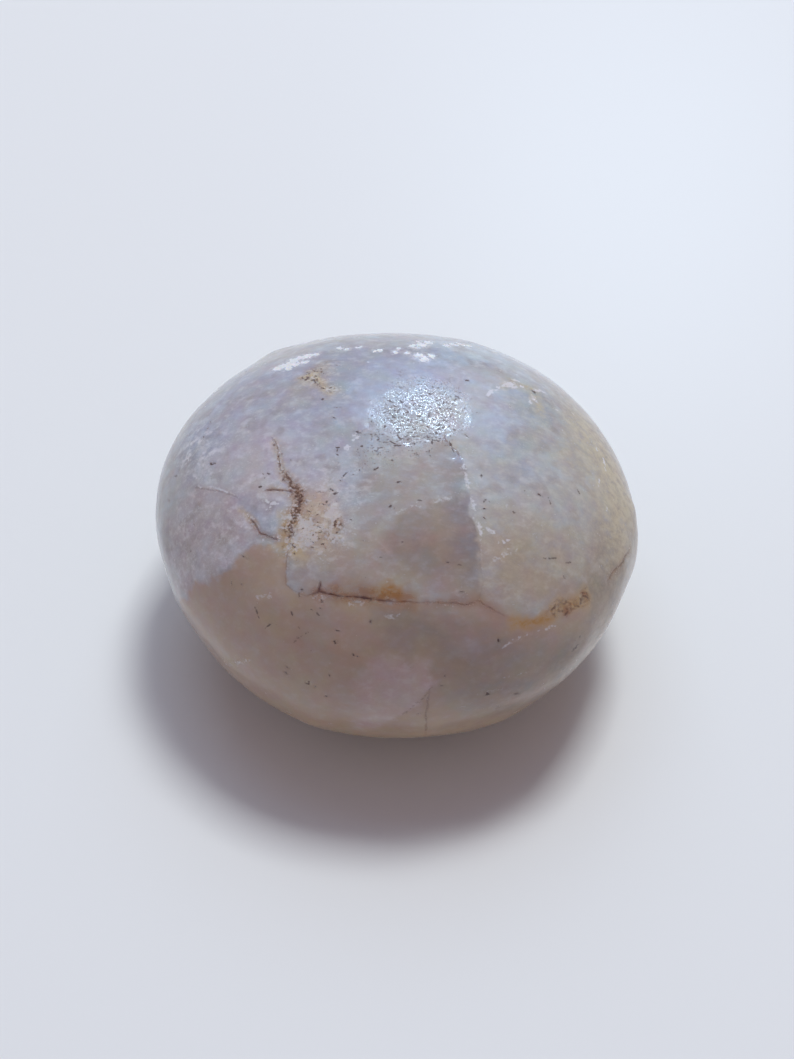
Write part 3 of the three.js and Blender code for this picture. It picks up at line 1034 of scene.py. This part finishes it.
def addNode(tree, kind, inputs=None, **settings):
    node = tree.nodes.new(kind)
    for name, value in settings.items():
        setattr(node, name, value)
    for name, value in (inputs or {}).items():
        if isinstance(value, bpy.types.NodeSocket):
            tree.links.new(value, node.inputs[name])
        else:
            node.inputs[name].default_value = value
    return node


def calculate(tree, operation, *values, clamp=False):
    inputs = dict(enumerate(values))
    return addNode(tree, "ShaderNodeMath", inputs, operation=operation, use_clamp=clamp).outputs[0]


def vectorOf(tree, operation, *vectors):
    # as calculate, for vectors
    return addNode(tree, "ShaderNodeVectorMath", dict(enumerate(vectors)), operation=operation).outputs[0]


def spread(tree, value, low, high, newLow=0.0, newHigh=1.0):
    # a smooth step of the value from low to high
    node = addNode(
        tree, "ShaderNodeMapRange", {0: value, 1: low, 2: high, 3: newLow, 4: newHigh},
        interpolation_type="SMOOTHSTEP",
    )
    return node.outputs[0]


def blendColours(tree, share, first, second, how="MIX"):
    node = addNode(tree, "ShaderNodeMix", {0: share, 6: first, 7: second}, data_type="RGBA", blend_type=how)
    return node.outputs[2]


def markOf(tree, name):
    return addNode(tree, "ShaderNodeAttribute", attribute_name=name).outputs["Fac"]


def colour(red, green, blue):
    # a colour as seen on screen, 0 to 255, for a socket
    def linear(part):
        part /= 255
        return part / 12.92 if part <= 0.04045 else ((part + 0.055) / 1.055) ** 2.4
    return (linear(red), linear(green), linear(blue), 1.0)


def newGroup(name, inputs, outputs):
    group = bpy.data.node_groups.new(name, "ShaderNodeTree")
    for socket, kind in inputs.items():
        group.interface.new_socket(socket, in_out="INPUT", socket_type="NodeSocket" + kind)
    for socket, kind in outputs.items():
        group.interface.new_socket(socket, in_out="OUTPUT", socket_type="NodeSocket" + kind)
    return group, group.nodes.new("NodeGroupInput").outputs, group.nodes.new("NodeGroupOutput").inputs


def placeGroup(tree, group, inputs):
    return addNode(tree, "ShaderNodeGroup", inputs, node_tree=group).outputs


# ---- effects, all in millimetres

def unevenGroup():
    # soft clouds from 0 to 1, drawn out along X where stretch is over 1
    group, given, out = newGroup(
        "quartzUneven",
        {"Vector": "Vector", "Size": "Float", "Stretch": "Float", "Detail": "Float", "Contrast": "Float"},
        {"Amount": "Float"},
    )
    finer = calculate(group, "DIVIDE", 1.0, given["Size"])
    squeeze = addNode(
        group, "ShaderNodeCombineXYZ", {0: calculate(group, "DIVIDE", 1.0, given["Stretch"]), 1: 1.0, 2: 1.0}
    )
    place = vectorOf(group, "MULTIPLY", given["Vector"], squeeze.outputs[0])
    cloud = addNode(
        group, "ShaderNodeTexNoise",
        {"Vector": place, "Scale": finer, "Detail": given["Detail"], "Roughness": 0.6},
    )
    amount = calculate(group, "SUBTRACT", cloud.outputs["Fac"], 0.5)
    amount = calculate(group, "MULTIPLY_ADD", amount, given["Contrast"], 0.5, clamp=True)
    group.links.new(amount, out["Amount"])
    return group


def brokenGroup():
    # breaks a smooth mask up into blots and specks
    group, given, out = newGroup(
        "brokenMask", {"Amount": "Float", "Noise": "Float", "Softness": "Float"}, {"Mask": "Float"}
    )
    level = calculate(group, "SUBTRACT", 1.0, given["Amount"])
    level = calculate(group, "SUBTRACT", level, given["Softness"])
    upper = calculate(group, "ADD", level, calculate(group, "MULTIPLY", given["Softness"], 2.0))
    mask = addNode(group, "ShaderNodeMapRange", {0: given["Noise"], 1: level, 2: upper}, clamp=True)
    shown = spread(group, given["Amount"], 0.0, 0.08)
    group.links.new(calculate(group, "MULTIPLY", mask.outputs[0], shown), out["Mask"])
    return group


# how a nick is bent, drawn out along X and softened at its edge
nickShape = {"bendScale": 1.9, "bend": 0.9, "drawnOut": (0.3, 1.0, 1.0), "soft": 0.45}


def nickGroup():
    # short dark nicks, at most one in a cell; share is how many of the cells have one
    group, given, out = newGroup(
        "darkNicks",
        {"Vector": "Vector", "Spacing": "Float", "Thickness": "Float", "Tilt": "Float", "Share": "Float"},
        {"Mark": "Float"},
    )
    turned = addNode(
        group, "ShaderNodeVectorRotate", {"Vector": given["Vector"], "Angle": given["Tilt"]},
        rotation_type="Z_AXIS",
    )
    bend = addNode(
        group, "ShaderNodeTexNoise",
        {"Vector": given["Vector"], "Scale": nickShape["bendScale"], "Detail": 4.0},
    )
    bend = vectorOf(group, "SUBTRACT", bend.outputs["Color"], (0.5, 0.5, 0.5))
    bend = vectorOf(group, "MULTIPLY", bend, [nickShape["bend"]] * 3)
    place = vectorOf(group, "ADD", turned.outputs[0], bend)
    place = vectorOf(group, "MULTIPLY", place, nickShape["drawnOut"])
    finer = calculate(group, "DIVIDE", 1.0, given["Spacing"])
    cells = addNode(group, "ShaderNodeTexVoronoi", {"Vector": place, "Scale": finer})
    away = calculate(group, "MULTIPLY", cells.outputs["Distance"], given["Spacing"])
    mark = calculate(group, "DIVIDE", away, given["Thickness"])
    mark = spread(group, mark, 1.0, nickShape["soft"])
    lot = addNode(group, "ShaderNodeSeparateColor", {0: cells.outputs["Color"]})
    kept = calculate(group, "LESS_THAN", lot.outputs[0], given["Share"])
    group.links.new(calculate(group, "MULTIPLY", mark, kept), out["Mark"])
    return group


# ---- the quartz

quartzLook = {
    "clear": colour(210, 185, 159),
    "rosy": colour(204, 176, 157),
    "milky": colour(187, 199, 209),
    "veil": colour(210, 219, 230),
    "dull": colour(160, 155, 149),
    "warm": colour(146, 131, 120),
    "lilac": colour(170, 180, 208),
    "mauve": colour(216, 192, 188),
    "smoke": colour(118, 128, 152),
    # the colour of the painted glow at the foot of the stone
    "yellow": colour(206, 172, 100),
    "ochre": colour(218, 200, 164),
    "pale": colour(238, 236, 240),
    "chip": colour(252, 253, 255),
    "rust": colour(190, 144, 84),
    "red": colour(158, 104, 70),
    "brown": colour(112, 80, 64),
    "crack": colour(108, 70, 68),
    "nick": colour(98, 78, 74),
    "cloud": (6.0, 1.0, 2.0, 2.2),  # size in mm, stretch, detail and contrast of a noise
    "wisp": (1.5, 1.6, 4.0, 1.8),
    "mottle": (0.6, 1.4, 4.0, 1.9),
    "speck": (0.19, 1.3, 3.0, 2.2),
    "grain": (0.17, 1.0, 1.0, 2.4),
    "grainDepth": 0.009,  # mm
    "hueSize": 1.5,  # mm
    "hueShare": 0.1,
    "milkiness": 0.3,  # where no patch changes it
    "tints": {  # how far a tint swings with the wisps, and its least
        "warm": (1.0, 0.5), "lilac": (0.6, 0.5), "mauve": (0.6, 0.6), "smoke": (0.6, 0.7),
    },
    "paintedGlowTop": 12.0,  # the height in mm from which a painted glow begins, lighter and yellower towards the foot of the stone
    "paintedGlowFoot": 4.0,
    "paintedGlowShare": 0.88,
    "veilShare": 0.4,
    "dullShare": 0.4,
    "blotShare": (0.22, 0.5),  # where the quartz is milky, and how much more where it is bruised
    "grittyShare": (0.07, 0.12),
    "fleckShare": (0.2, 0.3),
    "nickShare": (0.06, 0.55),  # everywhere, and how much more where dashes are marked
    "nickThickness": 0.12,  # mm
    "nickSets": ((0.5, 0.3, 1.0), (0.62, 1.6, 0.6)),  # spacing in mm, tilt, and how many of them
    "refraction": 1.54,
    "transmission": 0.28,
    "scatter": 0.8,
    "scatterDepth": 4.0,  # mm
    "scatterTint": (1.0, 0.8, 0.65),
    "roughness": 0.16,
    "dullRoughness": 0.34,  # what cracks, nicks, stains and frost add to it
    "coat": {"Coat Weight": 0.26, "Coat Roughness": 0.38, "Coat IOR": 1.5},
}


def quartzMaterial():
    material = bpy.data.materials.new("milkyQuartz")
    material.use_nodes = True
    tree = material.node_tree
    tree.nodes.clear()
    look = quartzLook
    place = addNode(tree, "ShaderNodeTexCoord").outputs["Object"]
    place = vectorOf(tree, "DIVIDE", place, (mm, mm, mm))
    clouds = unevenGroup()
    broken = brokenGroup()
    nicks = nickGroup()

    def noiseOf(name):
        size, stretch, detail, contrast = look[name]
        inputs = {"Vector": place, "Size": size, "Stretch": stretch, "Detail": detail, "Contrast": contrast}
        return placeGroup(tree, clouds, inputs)["Amount"]

    def breakUp(amount, crumbs, softness):
        return placeGroup(tree, broken, {"Amount": amount, "Noise": crumbs, "Softness": softness})["Mask"]

    def scaled(value, factor, offset, clamp=False):
        return calculate(tree, "MULTIPLY_ADD", value, factor, offset, clamp=clamp)

    def times(*values, clamp=False):
        product = values[0]
        for value in values[1:]:
            product = calculate(tree, "MULTIPLY", product, value, clamp=clamp)
        return product

    def most(*values):
        greatest = values[0]
        for value in values[1:]:
            greatest = calculate(tree, "MAXIMUM", greatest, value)
        return greatest

    def lay(shade, name, share):
        # puts one of the stone's colours over the shade
        return blendColours(tree, share, shade, look[name])

    cloud, wisp, mottle, speck, grain = map(noiseOf, ("cloud", "wisp", "mottle", "speck", "grain"))
    blot = scaled(speck, 0.5, times(mottle, 0.5))
    soak = spread(tree, scaled(speck, 0.25, times(mottle, 0.75)), 0.15, 0.7)
    hues = addNode(tree, "ShaderNodeTexNoise", {"Vector": place, "Scale": 1 / look["hueSize"], "Detail": 1.0})
    hue = addNode(tree, "ShaderNodeSeparateColor", {0: hues.outputs["Color"]}).outputs

    # the body of the stone; the milkier it is, the more its flaws show
    milk = markOf(tree, "milk")
    flawed = scaled(milk, 1.2, 0.8, clamp=True)
    tone = scaled(cloud, 0.36, times(wisp, 0.4))
    tone = scaled(tone, flawed, calculate(tree, "ADD", milk, look["milkiness"]), clamp=True)
    shade = lay(blendColours(tree, cloud, look["rosy"], look["clear"]), "milky", tone)
    for name, (swing, least) in look["tints"].items():
        shade = lay(shade, name, times(markOf(tree, name), scaled(wisp, swing, least), clamp=True))
    # painted glow: the stone is painted lighter and yellower towards its foot
    height = addNode(tree, "ShaderNodeSeparateXYZ", {0: place}).outputs["Z"]
    rim = times(spread(tree, height, look["paintedGlowTop"], look["paintedGlowFoot"]), calculate(tree, "ADD", wisp, 0.3))
    shade = lay(shade, "yellow", times(rim, look["paintedGlowShare"]))
    shade = blendColours(tree, look["hueShare"], shade, hues.outputs["Color"], how="OVERLAY")

    # veils, blots and dull spots that lie close under the surface
    bruise = markOf(tree, "bruise")

    def whereFlawed(name):
        milky, bruised = look[name]
        return scaled(bruise, bruised, times(flawed, milky))

    shade = lay(shade, "veil", times(spread(tree, wisp, 0.42, 0.85), flawed, look["veilShare"]))
    shade = lay(shade, "dull", times(spread(tree, hue[0], 0.5, 0.68), flawed, look["dullShare"]))
    shade = lay(shade, "pale", times(spread(tree, mottle, 0.5, 0.85), whereFlawed("blotShare")))
    shade = blendColours(tree, whereFlawed("grittyShare"), shade, blot, how="LINEAR_LIGHT")

    # what iron has coloured
    ochre = times(markOf(tree, "ochre"), scaled(soak, 0.6, 0.3), clamp=True)
    shade = lay(shade, "ochre", times(ochre, 0.85))
    soaked = calculate(tree, "ADD", soak, 0.35)
    shade = lay(shade, "rust", times(markOf(tree, "rust"), soaked, clamp=True))
    red = times(markOf(tree, "red"), soaked, clamp=True)
    shade = lay(shade, "red", red)
    brown = breakUp(markOf(tree, "brown"), speck, 0.12)
    shade = lay(shade, "brown", times(brown, 0.8))

    # pale flecks and chips
    bruised = times(whereFlawed("fleckShare"), spread(tree, hue[1], 0.4, 0.62, 0.4, 1.3))
    flecks = breakUp(bruised, scaled(mottle, -0.25, scaled(speck, -0.75, 1.0)), 0.1)
    shade = lay(shade, "pale", times(flecks, 0.45))
    pale = breakUp(markOf(tree, "pale"), scaled(speck, 0.7, 0.15), 0.3)
    shade = lay(shade, "pale", times(pale, 0.75))
    chip = breakUp(times(markOf(tree, "chip"), 0.9), blot, 0.26)
    shade = lay(shade, "chip", chip)

    # dark nicks and the lines of the cracks
    dashes = markOf(tree, "dashes")
    everywhere, crowded = look["nickShare"]
    nick = breakUp(times(dashes, 0.26), speck, 0.04)
    for spacing, tilt, many in look["nickSets"]:
        share = times(scaled(dashes, crowded, everywhere), many)
        inputs = {"Vector": place, "Spacing": spacing, "Thickness": look["nickThickness"], "Tilt": tilt}
        nick = most(nick, placeGroup(tree, nicks, {**inputs, "Share": share})["Mark"])
    shade = lay(shade, "nick", times(nick, 0.85))
    dark = breakUp(markOf(tree, "dark"), scaled(speck, 0.6, 0.3), 0.3)
    shade = lay(shade, "nick", times(dark, 0.9))
    crack = markOf(tree, "crack")
    shade = lay(shade, "crack", crack)

    # the crown is worn to a fine grain; lower down the stone is smooth
    frost = markOf(tree, "grain")
    dulled = most(red, brown, chip, crack, times(nick, 2.0), times(spread(tree, grain, 0.4, 0.6), frost))
    bump = {"Strength": 1.0, "Distance": look["grainDepth"] * mm, "Height": times(grain, frost)}
    quartz = addNode(
        tree, "ShaderNodeBsdfPrincipled",
        {"Base Color": shade, "Roughness": scaled(dulled, look["dullRoughness"], look["roughness"]),
         "IOR": look["refraction"], "Normal": addNode(tree, "ShaderNodeBump", bump).outputs[0],
         "Subsurface Weight": look["scatter"], "Subsurface Scale": look["scatterDepth"] * mm,
         "Subsurface Radius": look["scatterTint"], "Transmission Weight": look["transmission"],
         **look["coat"]},
        subsurface_method="RANDOM_WALK",
    )
    addNode(tree, "ShaderNodeOutputMaterial", {"Surface": quartz.outputs[0]})
    return material


stone = makeStone()
stone.data.materials.append(quartzMaterial())
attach(stone, "root")
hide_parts(formValues["node"])
print("stone made")


# ---- floor, lights and camera

floorValues = {
    "side": 3.0,  # metres
    "shade": colour(223, 222, 220),
    "roughness": 0.25,
    "shine": 0.05,
}


def makeFloor():
    bm = bmesh.new()
    bmesh.ops.create_grid(bm, x_segments=1, y_segments=1, size=floorValues["side"] / 2)
    mesh = bpy.data.meshes.new("floor")
    bm.to_mesh(mesh)
    bm.free()
    floor = bpy.data.objects.new("floor", mesh)
    bpy.context.scene.collection.objects.link(floor)
    material = bpy.data.materials.new("paleFloor")
    material.use_nodes = True
    surface = material.node_tree.nodes["Principled BSDF"]
    surface.inputs["Base Color"].default_value = floorValues["shade"]
    surface.inputs["Roughness"].default_value = floorValues["roughness"]
    surface.inputs["Specular IOR Level"].default_value = floorValues["shine"]
    mesh.materials.append(material)


# azimuth and elevation in degrees, distance and size in metres; rays are the kinds that see the lamp
lightValues = {
    "window": {
        "azimuth": 82, "elevation": 43.5, "distance": 0.9, "size": 0.13, "power": 2.1,
        "tint": (0.6, 0.82, 1.0), "rays": ("glossy", "transmission"),
    },
    "glow": {
        "azimuth": 75, "elevation": 33.5, "distance": 0.9, "size": 0.55, "power": 1.5,
        "tint": (0.34, 0.52, 1.0), "rays": ("glossy",),
    },
    "sky": {
        "azimuth": 90, "elevation": 60, "distance": 0.9, "size": 0.8, "power": 3.1,
        "tint": (0.58, 0.78, 1.0), "rays": ("diffuse",),
    },
    "overhead": {
        "azimuth": 63, "elevation": 68.3, "distance": 1.0, "size": 0.25, "power": 6.0,
        "tint": (0.92, 0.98, 1.0), "rays": ("diffuse",),
    },
}
worldValues = {"tint": (1.0, 0.87, 1.03, 1.0), "strength": 0.305}


def makeLight(name, values):
    light = bpy.data.lights.new(name, "AREA")
    light.shape = "SQUARE"
    light.size = values["size"]
    light.energy = values["power"]
    light.color = values["tint"]
    lamp = bpy.data.objects.new(name, light)
    towards = directionTo([values["azimuth"], values["elevation"]])
    lamp.location = stoneCentre + towards * values["distance"]
    lamp.rotation_euler = towards.to_track_quat("Z", "Y").to_euler()
    lamp.visible_diffuse = "diffuse" in values["rays"]
    lamp.visible_glossy = "glossy" in values["rays"]
    lamp.visible_transmission = "transmission" in values["rays"]
    bpy.context.scene.collection.objects.link(lamp)


def makeWorld():
    world = bpy.data.worlds.new("room")
    world.use_nodes = True
    background = world.node_tree.nodes["Background"]
    background.inputs["Color"].default_value = worldValues["tint"]
    background.inputs["Strength"].default_value = worldValues["strength"]
    bpy.context.scene.world = world


cameraValues = {
    "elevation": 52,  # degrees above the floor, looking along +Y
    "distance": 237.5,  # mm from the stone's centre
    "drop": 0.05,  # mm from the stone's centre down to the middle of the view
    "focalLength": 102,
    "sensorWidth": 36,
}


def makeCamera():
    camera = bpy.data.cameras.new("camera")
    camera.lens = cameraValues["focalLength"]
    camera.sensor_width = cameraValues["sensorWidth"]
    camera.clip_start = 1 * mm
    view = bpy.data.objects.new("camera", camera)
    tilt = math.radians(cameraValues["elevation"])
    back = Vector((0, -math.cos(tilt), math.sin(tilt)))
    up = Vector((0, math.sin(tilt), math.cos(tilt)))
    view.location = stoneCentre + (back * cameraValues["distance"] - up * cameraValues["drop"]) * mm
    view.rotation_euler = (math.pi / 2 - tilt, 0, 0)
    bpy.context.scene.collection.objects.link(view)
    bpy.context.scene.camera = view


makeFloor()
for name, values in lightValues.items():
    makeLight(name, values)
makeWorld()
makeCamera()
bpy.context.scene.view_settings.view_transform = "Standard"
print("scene lit")
